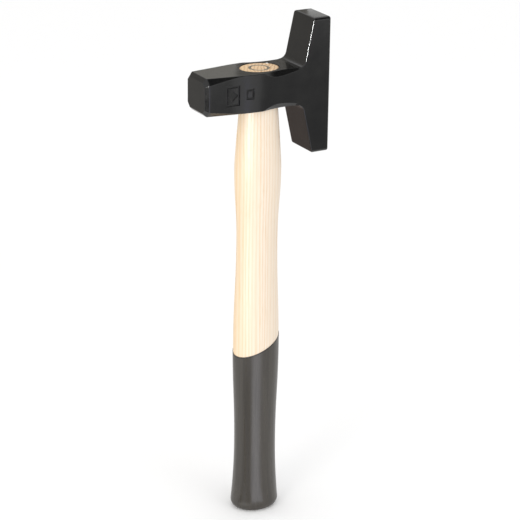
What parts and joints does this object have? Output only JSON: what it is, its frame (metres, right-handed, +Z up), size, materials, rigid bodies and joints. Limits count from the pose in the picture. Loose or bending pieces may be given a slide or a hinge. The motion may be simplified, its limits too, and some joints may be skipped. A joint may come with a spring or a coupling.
{
  "type": "forging hammer",
  "caption": "Hand hammer with a square flat face, a broad upright flat face on two tapering arms, and an oval ash handle with a ring wedge and a dipped grip.",
  "frame": {"origin": "centre of the flat end of the handle", "axes": "+Z up the handle to the head, -X out of the square striking face, +X out of the broad face, Y across the head"},
  "size_m": [0.0872, 0.0292, 0.33],
  "materials": {
    "head": "forged steel under glossy black lacquer",
    "handle": "sanded ash with a clear satin varnish",
    "ring_wedge": "plain steel, driven in",
    "grip_coat": "dipped satin lacquer"
  },
  "bodies": {
    "root": {"head": "head", "handle": "handle", "ring_wedge": "ring_wedge", "grip_coat": "grip_coat"}
  },
  "joints": []
}
